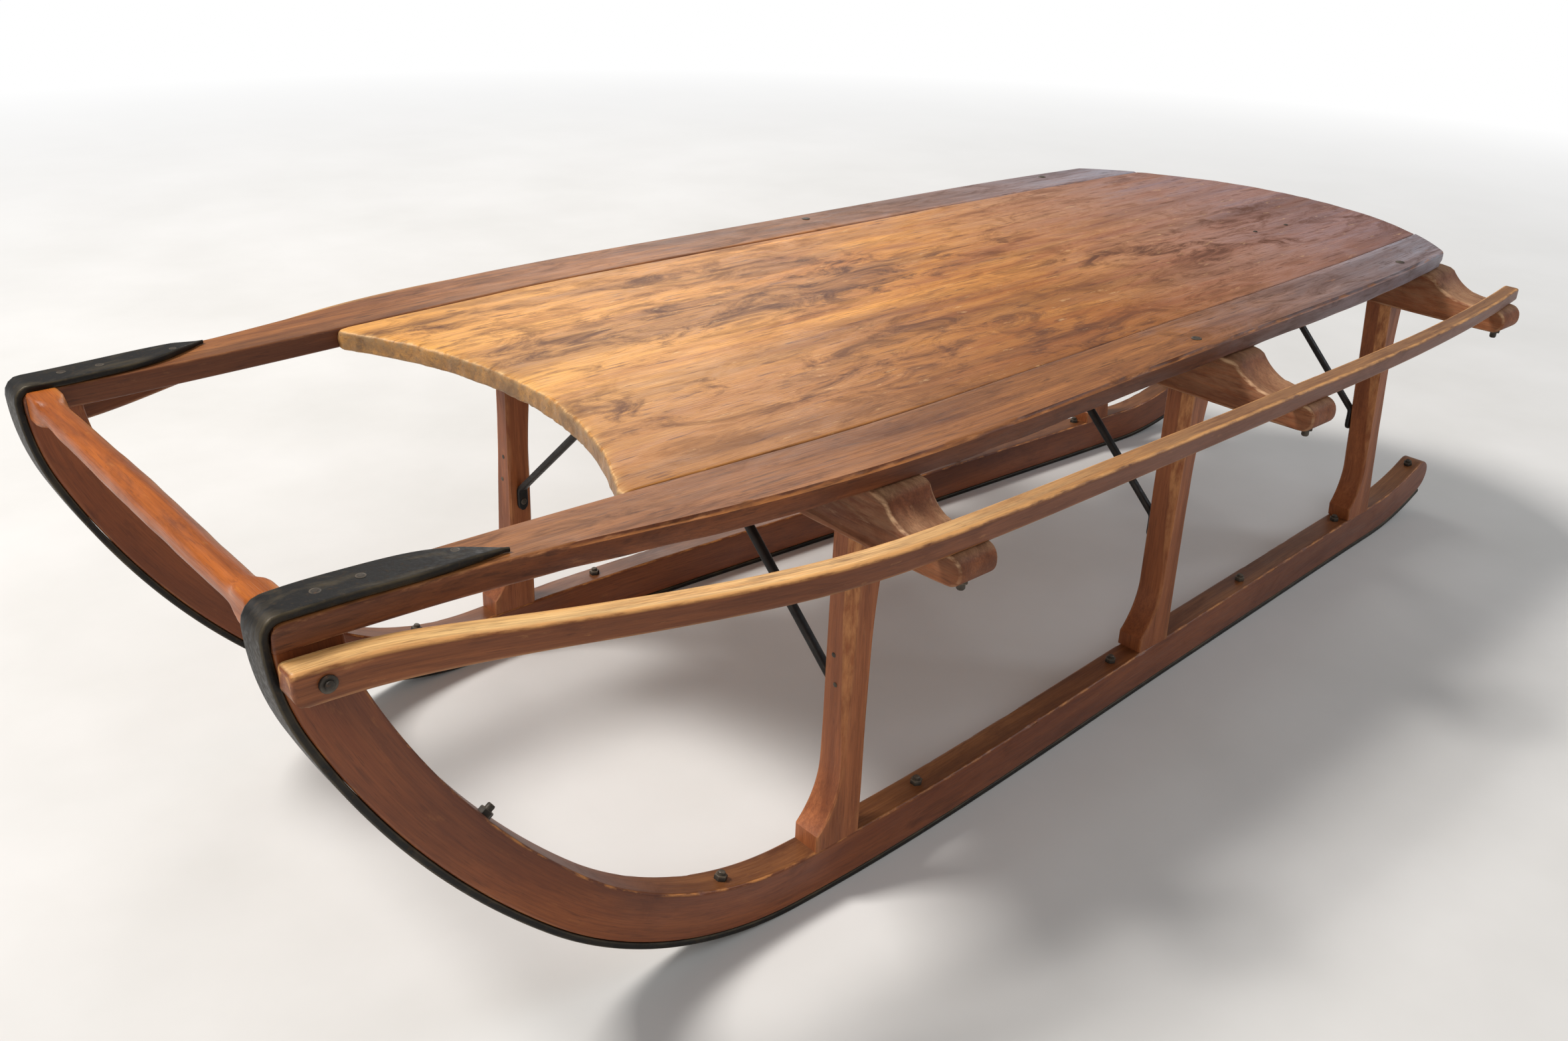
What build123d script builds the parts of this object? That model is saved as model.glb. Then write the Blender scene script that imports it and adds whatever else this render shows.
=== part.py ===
"""Child's wooden coasting sled with bowed runners and fender rails.

The origin lies on the floor under the middle of the overall box, +X points to the nose,
+Y to the left side and +Z up. Places along the sled are given as stations, counted in
millimetres from the foremost point of the nose towards the rear.
"""

from build123d import *
import math
import os

os.makedirs("parts", exist_ok=True)

# Overall
front_bench_station = 475.0
front_bay = 487.0
rear_bay = 453.0
tail_reach = 248.0
rear_row_gap = 85.0
plan_margin = 37.0
deck_height = 420.0
board_thickness = 19.0
fit_gap = 0.3

# Deck board and side rails
deck_front_station = 274.0
cutout_depth = 61.0
cutout_corner = 6.0
rear_arc_radius = 365.0
rear_overhang = 124.0
rail_round = 4.0
deck_round = 3.0

# Runner and shoe
runner_thickness = 29.0
runner_depth = 44.0
runner_round = 2.0
shoe_thickness = 6.0
fold_radius = 8.0
low_bend_angle = 44.0
middle_bend_angle = 23.5
low_bend_share = 0.83
middle_bend_share = 1.71
tail_rise_radius = 425.0
tail_rise_angle = 19.0
tongue_length = 165.0

# Benches
bench_length = 50.0
bench_depth = 52.0
bench_lip = 12.0
bench_chamfer = 2.0
tip_depth = 23.0
tip_flat = 42.0
tip_round = 11.0
tip_overhang = 4.0

# Posts
post_length = 27.0
foot_flare = 24.0
foot_toe = 16.0
foot_sweep = 58.0
head_flare = 12.0
head_sweep = 120.0
post_chamfer = 3.0

# Iron braces
brace_width = 12.0
brace_thickness = 7.0
brace_foot_height = 170.0
brace_foot_length = 27.0
brace_head_length = 30.0
brace_bend_radius = 9.0

# Fender rails
fender_width = 25.0
fender_depth = 27.0
fender_round = 4.0
fender_overhang = 42.0

# Nose bar
nose_bar_diameter = 25.0
nose_bar_end_diameter = 22.0
nose_bar_drop = 10.0
nose_bar_setback = 13.0
nose_bar_block = 24.0
nose_bar_block_length = 18.0

# Places that follow from the sizes
middle_bench_station = front_bench_station + front_bay
rear_bench_station = middle_bench_station + rear_bay
overall_length = rear_bench_station + tail_reach
nose_x = overall_length / 2
bench_top = deck_height - board_thickness
bench_bottom = bench_top - bench_depth
tip_top = bench_bottom + tip_depth
sole_height = shoe_thickness + fit_gap
wood_front_x = nose_x - shoe_thickness - fit_gap
runner_top = sole_height + runner_depth
nose_bar_x = wood_front_x - nose_bar_setback
nose_bar_z = deck_height - nose_bar_drop

# Plan of the left side: how far out the deck joint, the rail and the runner stand
plan_columns = ("station", "joint", "rail", "runner")
plan_rows = (
    (0.0, 216.0, 252.0, 250.0),
    (50.0, 216.0, 254.0, 251.5),
    (150.0, 218.0, 262.0, 258.0),
    (315.0, 226.0, 291.0, 271.0),
    (front_bench_station, 235.5, 307.0, 277.0),
    (front_bench_station + front_bay / 2, 233.0, 304.0, 269.0),
    (middle_bench_station, 226.5, 295.5, 254.0),
    (middle_bench_station + rear_bay / 2, 221.0, 288.5, 241.0),
    (rear_bench_station, 210.0, 270.5, 228.0),
    (rear_bench_station + rear_row_gap, 203.5, 260.0, 223.5),
    (overall_length + plan_margin, 188.0, 236.0, 213.0),
)
plan = [dict(zip(plan_columns, row)) for row in plan_rows]

# Plan of the left fender rail: how far out its inner face stands
fender_columns = ("station", "inner")
fender_rows = (
    (0.0, 250.5),
    (50.0, 254.5),
    (150.0, 287.0),
    (265.0, 328.0),
    (367.0, 353.0),
    (front_bench_station, 361.0),
    (front_bench_station + front_bay / 2, 362.0),
    (middle_bench_station, 361.0),
    (middle_bench_station + rear_bay / 2, 356.0),
    (rear_bench_station, 337.0),
    (rear_bench_station + rear_row_gap, 325.0),
)
fender_plan = [dict(zip(fender_columns, row)) for row in fender_rows]

# Plan of the left tongue: station, then how far out its inner and outer edges stand
tongue_columns = ("station", "inner", "outer")
tongue_rows = (
    (18.0, 218.0, 250.5),
    (70.0, 219.0, 253.0),
    (120.0, 228.0, 256.5),
    (tongue_length, 254.0, 254.0),
)
tongue_plan = [dict(zip(tongue_columns, row)) for row in tongue_rows]

# Cross frames: bench station, how far behind it the posts' feet and the braces stand,
# then how far out a brace meets the bench
frame_columns = ("name", "bench", "foot_back", "brace_back", "brace_head")
frame_rows = (
    ("front", front_bench_station, -5.0, -2.0, 80.0),
    ("middle", middle_bench_station, 6.0, 3.0, 62.0),
    ("rear", rear_bench_station, 47.0, 17.0, 46.0),
)
cross_frames = [dict(zip(frame_columns, row)) for row in frame_rows]


def side_points(rows, column, outset=0.0):
    """Plan points of one column of a table, moved outward by outset."""
    return [(nose_x - row["station"], row[column] + outset) for row in rows]


def plan_at(rows, column, station):
    """Straight interpolation of one plan column between its stations."""
    for near, far in zip(rows, rows[1:]):
        if station <= far["station"]:
            break
    share = (station - near["station"]) / (far["station"] - near["station"])
    return near[column] + share * (far[column] - near[column])


def heading(angle):
    """Unit direction at an angle above the forward direction."""
    return (math.cos(math.radians(angle)), math.sin(math.radians(angle)))


# Nose curve: two named arcs and a third that ends upright below the fold
nose_rise = deck_height - fold_radius - sole_height
steep_angle = low_bend_angle + middle_bend_angle
low_bend_radius = low_bend_share * nose_rise
middle_bend_radius = middle_bend_share * nose_rise
low_bend_rise = low_bend_radius * (1 - heading(low_bend_angle)[0])
middle_bend_rise = middle_bend_radius * (heading(low_bend_angle)[0] - heading(steep_angle)[0])
top_bend_radius = (nose_rise - low_bend_rise - middle_bend_rise) / heading(steep_angle)[0]
bend_run = (
    low_bend_radius * heading(low_bend_angle)[1]
    + middle_bend_radius * (heading(steep_angle)[1] - heading(low_bend_angle)[1])
    + top_bend_radius * (1 - heading(steep_angle)[1])
)
flat_front_x = wood_front_x - bend_run

# Tail: a half round end that reaches the rear of the overall box
tail_round = runner_depth / 2
tail_x = -nose_x + tail_round * (1 - heading(tail_rise_angle)[1])
tail_z = sole_height + tail_rise_radius * (1 - heading(tail_rise_angle)[0])
tail_middle = (
    tail_x + tail_round * (heading(tail_rise_angle)[1] - heading(tail_rise_angle)[0]),
    tail_z + tail_round * (heading(tail_rise_angle)[0] + heading(tail_rise_angle)[1]),
)


def sole_line(outset):
    """Sole of the runner from the tail to the upright nose, outset below the wood."""
    tail_start = (
        tail_x + outset * heading(-tail_rise_angle)[1],
        tail_z - outset * heading(-tail_rise_angle)[0],
    )
    tail = JernArc(tail_start, heading(-tail_rise_angle), tail_rise_radius + outset, tail_rise_angle)
    flat = Line(tail @ 1, (flat_front_x, sole_height - outset))
    low = JernArc(flat @ 1, heading(0), low_bend_radius + outset, low_bend_angle)
    middle = JernArc(low @ 1, low % 1, middle_bend_radius + outset, middle_bend_angle)
    top = JernArc(middle @ 1, middle % 1, top_bend_radius + outset, 90 - steep_angle)
    return tail @ 0, top @ 1


# Runner: its side elevation met with the bowed band of its plan
with BuildSketch(Plane.XZ) as runner_side:
    with BuildLine():
        sole_start, sole_end = sole_line(0.0)
        upper_start, upper_end = sole_line(-runner_depth)
        ThreePointArc(sole_start, tail_middle, upper_start)
        Line(sole_end, upper_end)
    make_face()
    with BuildLine():
        Polyline(
            sole_end,
            (wood_front_x, deck_height),
            (wood_front_x - runner_depth, deck_height),
            upper_end,
            close=True,
        )
    make_face()
    with Locations((0, bench_top)):
        Rectangle(overall_length, deck_height, align=(Align.CENTER, Align.MIN), mode=Mode.SUBTRACT)

with BuildSketch(Plane.XY) as runner_band:
    with BuildLine():
        outer = Spline(side_points(plan, "runner"))
        inner = Spline(side_points(plan, "runner", -runner_thickness))
        Line(outer @ 0, inner @ 0)
        Line(outer @ 1, inner @ 1)
    make_face()

with BuildPart() as runner_left:
    extrude(runner_side.sketch, amount=overall_length, both=True)
    extrude(runner_band.sketch, amount=deck_height, mode=Mode.INTERSECT)
    fillet(runner_left.edges().filter_by(GeomType.BSPLINE), runner_round)

# Shoe: a strap under the sole and up the nose, folded back over the rail as a pointed tongue
with BuildSketch(Plane.XZ) as shoe_side:
    with BuildLine():
        near_start, near_end = sole_line(fit_gap)
        far_start, far_end = sole_line(sole_height)
        Line(near_start, far_start)
        Line(near_end, far_end)
    make_face()

with BuildSketch(Plane.XZ) as tongue_side:
    with BuildLine():
        under_fold = JernArc(near_end, heading(90), fold_radius + fit_gap, 90)
        over_fold = JernArc(far_end, heading(90), fold_radius + sole_height, 90)
        under_line = Line(under_fold @ 1, (nose_x - tongue_length, deck_height + fit_gap))
        over_line = Line(over_fold @ 1, (nose_x - tongue_length, deck_height + sole_height))
        Line(near_end, far_end)
        Line(under_line @ 1, over_line @ 1)
    make_face()

tongue_root = ((nose_x, plan[0]["runner"] - runner_thickness), (nose_x, plan[0]["runner"]))
with BuildSketch(Plane.XY) as tongue_band:
    with BuildLine():
        inner_edge = Spline(side_points(tongue_plan, "inner"))
        outer_edge = Spline(side_points(tongue_plan, "outer"))
        Polyline(inner_edge @ 0, *tongue_root, outer_edge @ 0)
    make_face()

with BuildPart() as tongue:
    extrude(tongue_side.sketch, amount=overall_length, both=True)
    extrude(tongue_band.sketch, amount=2 * deck_height, mode=Mode.INTERSECT)

with BuildPart() as shoe_left:
    extrude(shoe_side.sketch, amount=overall_length, both=True)
    extrude(runner_band.sketch, amount=deck_height, mode=Mode.INTERSECT)
    add(tongue.part)

# Outline shared by the deck board and the rails: straight front, one circle at the rear
rear_arc_x = rear_arc_radius + rear_overhang - nose_x
with BuildSketch(Plane.XY.offset(bench_top)) as board_outline:
    with Locations((rear_arc_x, 0)):
        Circle(rear_arc_radius)
        Rectangle(
            wood_front_x - rear_arc_x,
            2 * rear_arc_radius,
            align=(Align.MIN, Align.CENTER),
        )

with BuildSketch(Plane.XY.offset(bench_top)) as rail_band:
    with BuildLine():
        rail_outer = Spline(side_points(plan, "rail"))
        rail_inner = Spline(side_points(plan, "joint", fit_gap))
        Line(rail_outer @ 0, rail_inner @ 0)
        Line(rail_outer @ 1, rail_inner @ 1)
    make_face()
    add(board_outline.sketch_local, mode=Mode.INTERSECT)

with BuildPart() as side_rail_left:
    extrude(rail_band.sketch, amount=board_thickness)
    fillet(side_rail_left.edges().group_by(Axis.X)[-1].sort_by(Axis.Z)[-1], fold_radius)
    rail_edges = side_rail_left.edges().filter_by(GeomType.BSPLINE)
    fillet(rail_edges.sort_by(Axis.Y)[-2:], rail_round)

# Deck board with its concave front end
cutout_half = plan_at(plan, "joint", deck_front_station) - cutout_corner
cutout_radius = (cutout_half**2 + cutout_depth**2) / (2 * cutout_depth)
deck_front_x = nose_x - deck_front_station
with BuildSketch(Plane.XY.offset(bench_top)) as deck_outline:
    with BuildLine():
        left_edge = Spline(side_points(plan, "joint", -fit_gap))
        right_edge = Spline([(x, -y) for x, y in side_points(plan, "joint", -fit_gap)])
        Line(left_edge @ 0, right_edge @ 0)
        Line(left_edge @ 1, right_edge @ 1)
    make_face()
    add(board_outline.sketch_local, mode=Mode.INTERSECT)
    with Locations((deck_front_x, 0)):
        Rectangle(
            overall_length,
            overall_length,
            align=(Align.MIN, Align.CENTER),
            mode=Mode.SUBTRACT,
        )
    with Locations((deck_front_x - cutout_depth + cutout_radius, 0)):
        Circle(cutout_radius, mode=Mode.SUBTRACT)

with BuildPart() as deck_board:
    extrude(deck_outline.sketch, amount=board_thickness)
    fillet(deck_board.edges().filter_by(GeomType.CIRCLE), deck_round)

# Fender rail
fender_end_x = nose_x - cross_frames[-1]["bench"] - fender_overhang
with BuildSketch(Plane.XY.offset(tip_top)) as fender_band:
    with BuildLine():
        fender_inner = Spline(side_points(fender_plan, "inner"))
        fender_outer = Spline(side_points(fender_plan, "inner", fender_width))
        Line(fender_inner @ 0, fender_outer @ 0)
        Line(fender_inner @ 1, fender_outer @ 1)
    make_face()
    with Locations((fender_end_x, 0)):
        Rectangle(
            wood_front_x - fender_end_x,
            overall_length,
            align=(Align.MIN, Align.CENTER),
            mode=Mode.INTERSECT,
        )

with BuildPart() as fender_rail_left:
    extrude(fender_band.sketch, amount=fender_depth)
    fillet(fender_rail_left.edges().filter_by(GeomType.BSPLINE), fender_round)

# Nose bar: turned middle between two square blocks
bar_half = plan[0]["joint"]
bar_neck = bar_half - nose_bar_block_length
neck_x = nose_bar_x + nose_bar_end_diameter / 2
belly_x = nose_bar_x + nose_bar_diameter / 2
with BuildPart() as nose_bar:
    with BuildSketch(Plane.XY.offset(nose_bar_z)):
        with BuildLine():
            ThreePointArc((neck_x, bar_neck), (belly_x, 0), (neck_x, -bar_neck))
            Polyline(
                (neck_x, bar_neck),
                (nose_bar_x, bar_neck),
                (nose_bar_x, -bar_neck),
                (neck_x, -bar_neck),
            )
        make_face()
    revolve(axis=Axis((nose_bar_x, 0, nose_bar_z), (0, 1, 0)))
    for block_middle in (bar_half - nose_bar_block_length / 2, nose_bar_block_length / 2 - bar_half):
        with Locations((nose_bar_x, block_middle, nose_bar_z)):
            Box(nose_bar_block, nose_bar_block_length, nose_bar_block)

# Mirrored right side
with BuildPart() as runner_right:
    mirror(runner_left.part, about=Plane.XZ)
with BuildPart() as shoe_right:
    mirror(shoe_left.part, about=Plane.XZ)
with BuildPart() as side_rail_right:
    mirror(side_rail_left.part, about=Plane.XZ)
with BuildPart() as fender_rail_right:
    mirror(fender_rail_left.part, about=Plane.XZ)

pieces = {
    "deck_board": deck_board,
    "side_rail_left": side_rail_left,
    "side_rail_right": side_rail_right,
    "runner_left": runner_left,
    "runner_right": runner_right,
    "shoe_left": shoe_left,
    "shoe_right": shoe_right,
    "fender_rail_left": fender_rail_left,
    "fender_rail_right": fender_rail_right,
    "nose_bar": nose_bar,
}

# Benches, posts and braces, one cross frame after another
post_half = post_length / 2
for frame in cross_frames:
    head_x = nose_x - frame["bench"]
    foot_x = head_x - frame["foot_back"]
    brace_x = head_x - frame["brace_back"]
    lip = plan_at(plan, "rail", frame["bench"]) + bench_lip
    reach = plan_at(fender_plan, "inner", frame["bench"]) + fender_width + tip_overhang
    post_face = plan_at(plan, "runner", (frame["bench"] + nose_x - foot_x) / 2)
    lean = (head_x - foot_x) / (bench_bottom - runner_top)
    sweep_start = reach - tip_flat

    with BuildPart() as bench:
        with BuildSketch(Plane.YZ.offset(head_x)) as bench_face:
            with BuildLine():
                Polyline(
                    (0, bench_top),
                    (0, bench_bottom),
                    (reach, bench_bottom),
                    (reach, tip_top),
                    (sweep_start, tip_top),
                )
                TangentArc((sweep_start, tip_top), (lip, bench_top), tangent=(-1, 0))
                Line((lip, bench_top), (0, bench_top))
            make_face()
            fillet(bench_face.vertices().group_by(Axis.X)[-1], tip_round)
            mirror(about=Plane.YZ)
        extrude(amount=bench_length / 2, both=True)
        chamfer(bench.faces().filter_by(Axis.X).edges(), bench_chamfer)
    pieces["bench_" + frame["name"]] = bench

    with BuildPart() as post_left:
        with BuildSketch(Plane.XZ.offset(-post_face)):
            toe_top = runner_top + foot_toe
            ankle_z = toe_top + foot_sweep
            neck_z = bench_bottom - head_sweep
            ankle = (foot_x + lean * (ankle_z - runner_top) + post_half, ankle_z)
            neck = (foot_x + lean * (neck_z - runner_top) - post_half, neck_z)
            with BuildLine():
                toe = Polyline(
                    (foot_x - post_half, runner_top),
                    (foot_x + post_half + foot_flare, runner_top),
                    (foot_x + post_half + foot_flare, toe_top),
                )
                TangentArc(ankle, toe @ 1, tangent=(-lean, -1))
                crown = Polyline(
                    ankle,
                    (head_x + post_half, bench_bottom),
                    (head_x - post_half - head_flare, bench_bottom),
                )
                TangentArc(neck, crown @ 1, tangent=(lean, 1))
                Line(neck, toe @ 0)
            make_face()
        extrude(amount=runner_thickness)
        upright_edges = post_left.edges().filter_by(GeomType.LINE).sort_by(SortBy.LENGTH)[-4:]
        chamfer(upright_edges, post_chamfer)
    pieces["post_" + frame["name"] + "_left"] = post_left

    post_inner = post_face - runner_thickness
    bend_z = brace_foot_height + brace_foot_length
    with BuildPart() as brace_left:
        with BuildSketch(Plane.YZ.offset(brace_x)):
            with BuildLine():
                FilletPolyline(
                    (post_inner, brace_foot_height),
                    (post_inner, bend_z),
                    (frame["brace_head"], bench_bottom),
                    (frame["brace_head"] - brace_head_length, bench_bottom),
                    radius=brace_bend_radius,
                )
                offset(amount=brace_thickness, side=Side.LEFT, closed=True)
            make_face()
        extrude(amount=brace_width / 2, both=True)
    pieces["brace_" + frame["name"] + "_left"] = brace_left

    with BuildPart() as post_right:
        mirror(post_left.part, about=Plane.XZ)
    pieces["post_" + frame["name"] + "_right"] = post_right
    with BuildPart() as brace_right:
        mirror(brace_left.part, about=Plane.XZ)
    pieces["brace_" + frame["name"] + "_right"] = brace_right

for name, piece in pieces.items():
    piece.part.label = name
    export_step(piece.part, "parts/" + name + ".step")
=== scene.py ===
# %% [markdown]
# # A wooden coasting sled
# The sled is an old one: a wide deck board between two bowed rails, three benches on posts,
# two plank runners bent up to the nose, and black iron along their soles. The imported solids
# give every size and place. This lesson dresses them: each piece is computed again as a
# surface with numpy, with the rounded and chipped arrises that years of use leave, and
# each gets its own finish.

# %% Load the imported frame
import bpy
import math
import numpy as np
from mathutils import Matrix, Vector


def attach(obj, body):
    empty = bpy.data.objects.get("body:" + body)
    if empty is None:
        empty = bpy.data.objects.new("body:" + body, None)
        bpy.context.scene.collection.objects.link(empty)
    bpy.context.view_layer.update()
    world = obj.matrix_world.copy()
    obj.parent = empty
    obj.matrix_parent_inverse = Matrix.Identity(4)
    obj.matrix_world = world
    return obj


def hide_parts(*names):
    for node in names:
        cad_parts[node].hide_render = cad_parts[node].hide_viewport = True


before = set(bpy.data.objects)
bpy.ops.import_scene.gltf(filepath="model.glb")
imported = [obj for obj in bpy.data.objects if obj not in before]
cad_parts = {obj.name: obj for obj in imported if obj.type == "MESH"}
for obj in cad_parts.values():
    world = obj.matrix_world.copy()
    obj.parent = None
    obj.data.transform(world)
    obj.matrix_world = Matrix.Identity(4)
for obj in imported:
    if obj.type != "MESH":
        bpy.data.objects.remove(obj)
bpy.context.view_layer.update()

# %% [markdown]
# ## Camera
# The photograph was taken from the front left corner, a little above the deck, with a wide
# lens and a slight tilt of the horizon. The camera's place and its three angles were worked
# out from the sled's own edges, so the sled fills the picture as it does there.

# %% Camera
camera_place = (1.07951, 0.97086, 0.84536)
camera_yaw, camera_pitch, camera_roll = 3.97505, 0.455798, 0.032638
lens_mm = 32.52

forward = np.array([
    math.cos(camera_yaw) * math.cos(camera_pitch),
    math.sin(camera_yaw) * math.cos(camera_pitch),
    -math.sin(camera_pitch),
])
level_right = np.array([math.sin(camera_yaw), -math.cos(camera_yaw), 0.0])
level_up = np.cross(level_right, forward)
right = math.cos(camera_roll) * level_right + math.sin(camera_roll) * level_up
up = math.cos(camera_roll) * level_up - math.sin(camera_roll) * level_right

camera_data = bpy.data.cameras.new("camera")
camera_data.lens = lens_mm
camera_data.sensor_width = 36.0
camera_data.clip_end = 60.0
camera = bpy.data.objects.new("camera", camera_data)
turn = Matrix(np.column_stack([right, up, -forward]).tolist()).to_4x4()
camera.matrix_world = Matrix.Translation(camera_place) @ turn
bpy.context.scene.collection.objects.link(camera)
bpy.context.scene.camera = camera

# %% [markdown]
# ## Shader nodes in short
# Every finish below is a small tree of nodes. These helpers put a node in the tree and fill
# its sockets, so that a finish reads as a list of layers and not as wiring.

# %% Helpers for shader nodes
def put(tree, kind, sockets=None, **settings):
    """Adds one shader node; a socket gets a link if its value is a socket, else the value."""
    node = tree.nodes.new("ShaderNode" + kind)
    for key, value in settings.items():
        setattr(node, key, value)
    for socket, value in (sockets or {}).items():
        if isinstance(value, bpy.types.NodeSocket):
            tree.links.new(value, node.inputs[socket])
        else:
            node.inputs[socket].default_value = value
    return node


def span(tree, value, low, high, to_low=0.0, to_high=1.0):
    """Straight line from to_low at low to to_high at high, held outside that range."""
    sockets = {"Value": value, 1: low, 2: high, 3: to_low, 4: to_high}
    return put(tree, "MapRange", sockets).outputs[0]


def reckon(tree, operation, a, b):
    """Result of one operation on two values."""
    return put(tree, "Math", {0: a, 1: b}, operation=operation).outputs[0]


def times(tree, a, b):
    """Product of two values."""
    return reckon(tree, "MULTIPLY", a, b)


def over(tree, amount, below, above):
    """Colour above laid over colour below by amount."""
    sockets = {0: amount, 6: below, 7: above}
    return put(tree, "Mix", sockets, data_type="RGBA").outputs[2]


def facing(tree, axis):
    """How far the surface faces along the axis x, y or z, from -1 to 1."""
    outward = put(tree, "NewGeometry").outputs["Normal"]
    return put(tree, "SeparateXYZ", {0: outward}).outputs["xyz".index(axis)]


def speckle(tree, where, scale, detail, rough=0.55, twist=0.0):
    """Noise on the coordinates where, stretched by scale along each axis."""
    mapped = put(tree, "Mapping", {"Vector": where, "Scale": scale}).outputs[0]
    sockets = {"Vector": mapped, "Scale": 1.0, "Detail": detail, "Roughness": rough}
    sockets["Distortion"] = twist
    return put(tree, "TexNoise", sockets).outputs[0]


def paint(red, green, blue):
    """Colour written as it shows on the screen, 0 to 255, turned into linear light."""
    shown = np.array([red, green, blue]) / 255.0
    linear = np.where(shown <= 0.04045, shown / 12.92, ((shown + 0.055) / 1.055) ** 2.4)
    return (*linear.tolist(), 1.0)


def new_finish(name):
    """Empty material with its output and one shader."""
    material = bpy.data.materials.new(name)
    material.use_nodes = True
    tree = material.node_tree
    tree.nodes.clear()
    shader = put(tree, "BsdfPrincipled")
    put(tree, "OutputMaterial", {"Surface": shader.outputs[0]})
    return material, tree, shader


def emboss(tree, shader, height, strength, distance):
    """Bump of the height, distance deep, on the shader's normal."""
    bump = put(tree, "Bump", {"Strength": strength, "Distance": distance, "Height": height})
    tree.links.new(bump.outputs[0], shader.inputs["Normal"])

# %% [markdown]
# ## Floor and light
# The object stands on a plain pale floor. One high lamp beyond the nose does most of the
# work and throws the soft shadow under the deck. Three weaker ones give the deck its sheen,
# fill the near side and cool the rear. Sky and far floor show white to the camera through
# Light Path, so nothing extra falls on the wood.

# %% Floor
floor_finish, tree, shader = new_finish("floor_plaster")
floor_place = put(tree, "TexCoord").outputs["Object"]
floor_cloud = speckle(tree, floor_place, (3.0, 3.0, 3.0), 5.0)
floor_share = span(tree, floor_cloud, 0.3, 0.7)
floor_colour = over(tree, floor_share, paint(212, 211, 208), paint(222, 221, 219))
tree.links.new(floor_colour, shader.inputs["Base Color"])
shader.inputs["Roughness"].default_value = 0.9
shader.inputs["Specular IOR Level"].default_value = 0.1

white = (1.0, 1.0, 1.0, 1.0)
fade_start, fade_end = 1.3, 4.2
rays = put(tree, "LightPath").outputs
seen = reckon(tree, "MAXIMUM", rays["Is Camera Ray"], rays["Is Glossy Ray"])
floor_reach = put(tree, "VectorMath", {0: floor_place}, operation="LENGTH").outputs["Value"]
far_share = times(tree, span(tree, floor_reach, fade_start, fade_end), seen)
backdrop = put(tree, "Emission", {"Color": white, "Strength": 1.0})
floor_mix = put(tree, "MixShader", {0: far_share, 1: shader.outputs[0], 2: backdrop.outputs[0]})
tree.links.new(floor_mix.outputs[0], tree.nodes["Material Output"].inputs["Surface"])

floor_half = 14.0
floor_mesh = bpy.data.meshes.new("floor")
floor_corners = [(-floor_half, -floor_half, 0), (floor_half, -floor_half, 0)]
floor_corners += [(floor_half, floor_half, 0), (-floor_half, floor_half, 0)]
floor_mesh.from_pydata(floor_corners, [], [(0, 1, 2, 3)])
floor_mesh.materials.append(floor_finish)
floor = bpy.data.objects.new("floor", floor_mesh)
bpy.context.scene.collection.objects.link(floor)

# %% Sky and lamps
world = bpy.data.worlds.new("studio")
world.use_nodes = True
bpy.context.scene.world = world
tree = world.node_tree
tree.nodes.clear()
sky_light, sky_seen = 0.3, 1.0
camera_ray = put(tree, "LightPath").outputs["Is Camera Ray"]
sky_strength = span(tree, camera_ray, 0.0, 1.0, sky_light, sky_seen)
sky = put(tree, "Background", {"Color": white, "Strength": sky_strength})
put(tree, "OutputWorld", {"Surface": sky.outputs[0]})

lamp_columns = ("name", "place", "aim", "size", "watts", "colour")
lamp_rows = (
    ("high_softbox", (3.0, -2.0, 5.0), (0.0, 0.1, 0.2), 1.3, 350.0, (1.0, 0.965, 0.93)),
    ("far_softbox", (-1.6, -2.6, 1.9), (-0.1, 0.0, 0.35), 1.4, 18.0, (1.0, 0.97, 0.94)),
    ("front_softbox", (3.4, 2.4, 2.6), (0.2, 0.0, 0.2), 1.8, 30.0, (1.0, 0.97, 0.94)),
    ("rear_softbox", (-2.4, 1.8, 1.9), (-0.4, 0.1, 0.2), 1.4, 20.0, (0.86, 0.92, 1.0)),
)
for lamp_row in lamp_rows:
    lamp = dict(zip(lamp_columns, lamp_row))
    lamp_data = bpy.data.lights.new(lamp["name"], "AREA")
    lamp_data.size = lamp["size"]
    lamp_data.energy = lamp["watts"]
    lamp_data.color = lamp["colour"]
    lamp_object = bpy.data.objects.new(lamp["name"], lamp_data)
    lamp_object.location = lamp["place"]
    aim = Vector(lamp["aim"]) - Vector(lamp["place"])
    lamp_object.rotation_euler = aim.to_track_quat("-Z", "Y").to_euler()
    bpy.context.scene.collection.objects.link(lamp_object)

bpy.context.scene.view_settings.view_transform = "Standard"

# %% [markdown]
# ## The sled's lines
# All long pieces follow the same bowed lines in plan. They are kept as a short table of
# stations, measured from the nose, and a smooth curve runs through each column.

# %% Plan lines
mm = 0.001
nose_x = 831.5 * mm
plan_columns = ("station", "joint", "rail", "runner")
plan_table = mm * np.array([
    (0.0, 216.0, 252.0, 250.0),
    (50.0, 216.0, 254.0, 251.5),
    (150.0, 218.0, 262.0, 258.0),
    (315.0, 226.0, 291.0, 271.0),
    (475.0, 235.5, 307.0, 277.0),
    (718.5, 233.0, 304.0, 269.0),
    (962.0, 226.5, 295.5, 254.0),
    (1188.5, 221.0, 288.5, 241.0),
    (1415.0, 210.0, 270.5, 228.0),
    (1500.0, 203.5, 260.0, 223.5),
    (1700.0, 188.0, 236.0, 213.0),
])
fender_table = mm * np.array([
    (0.0, 250.5), (50.0, 254.5), (150.0, 287.0), (265.0, 328.0), (367.0, 353.0),
    (475.0, 361.0), (718.5, 362.0), (962.0, 361.0), (1188.5, 356.0), (1415.0, 337.0),
    (1500.0, 325.0),
])
tongue_table = mm * np.array([
    (0.0, 221.0, 250.0), (18.0, 218.0, 250.5), (70.0, 219.0, 253.0),
    (120.0, 228.0, 256.5), (165.0, 254.0, 254.0),
])


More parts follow.
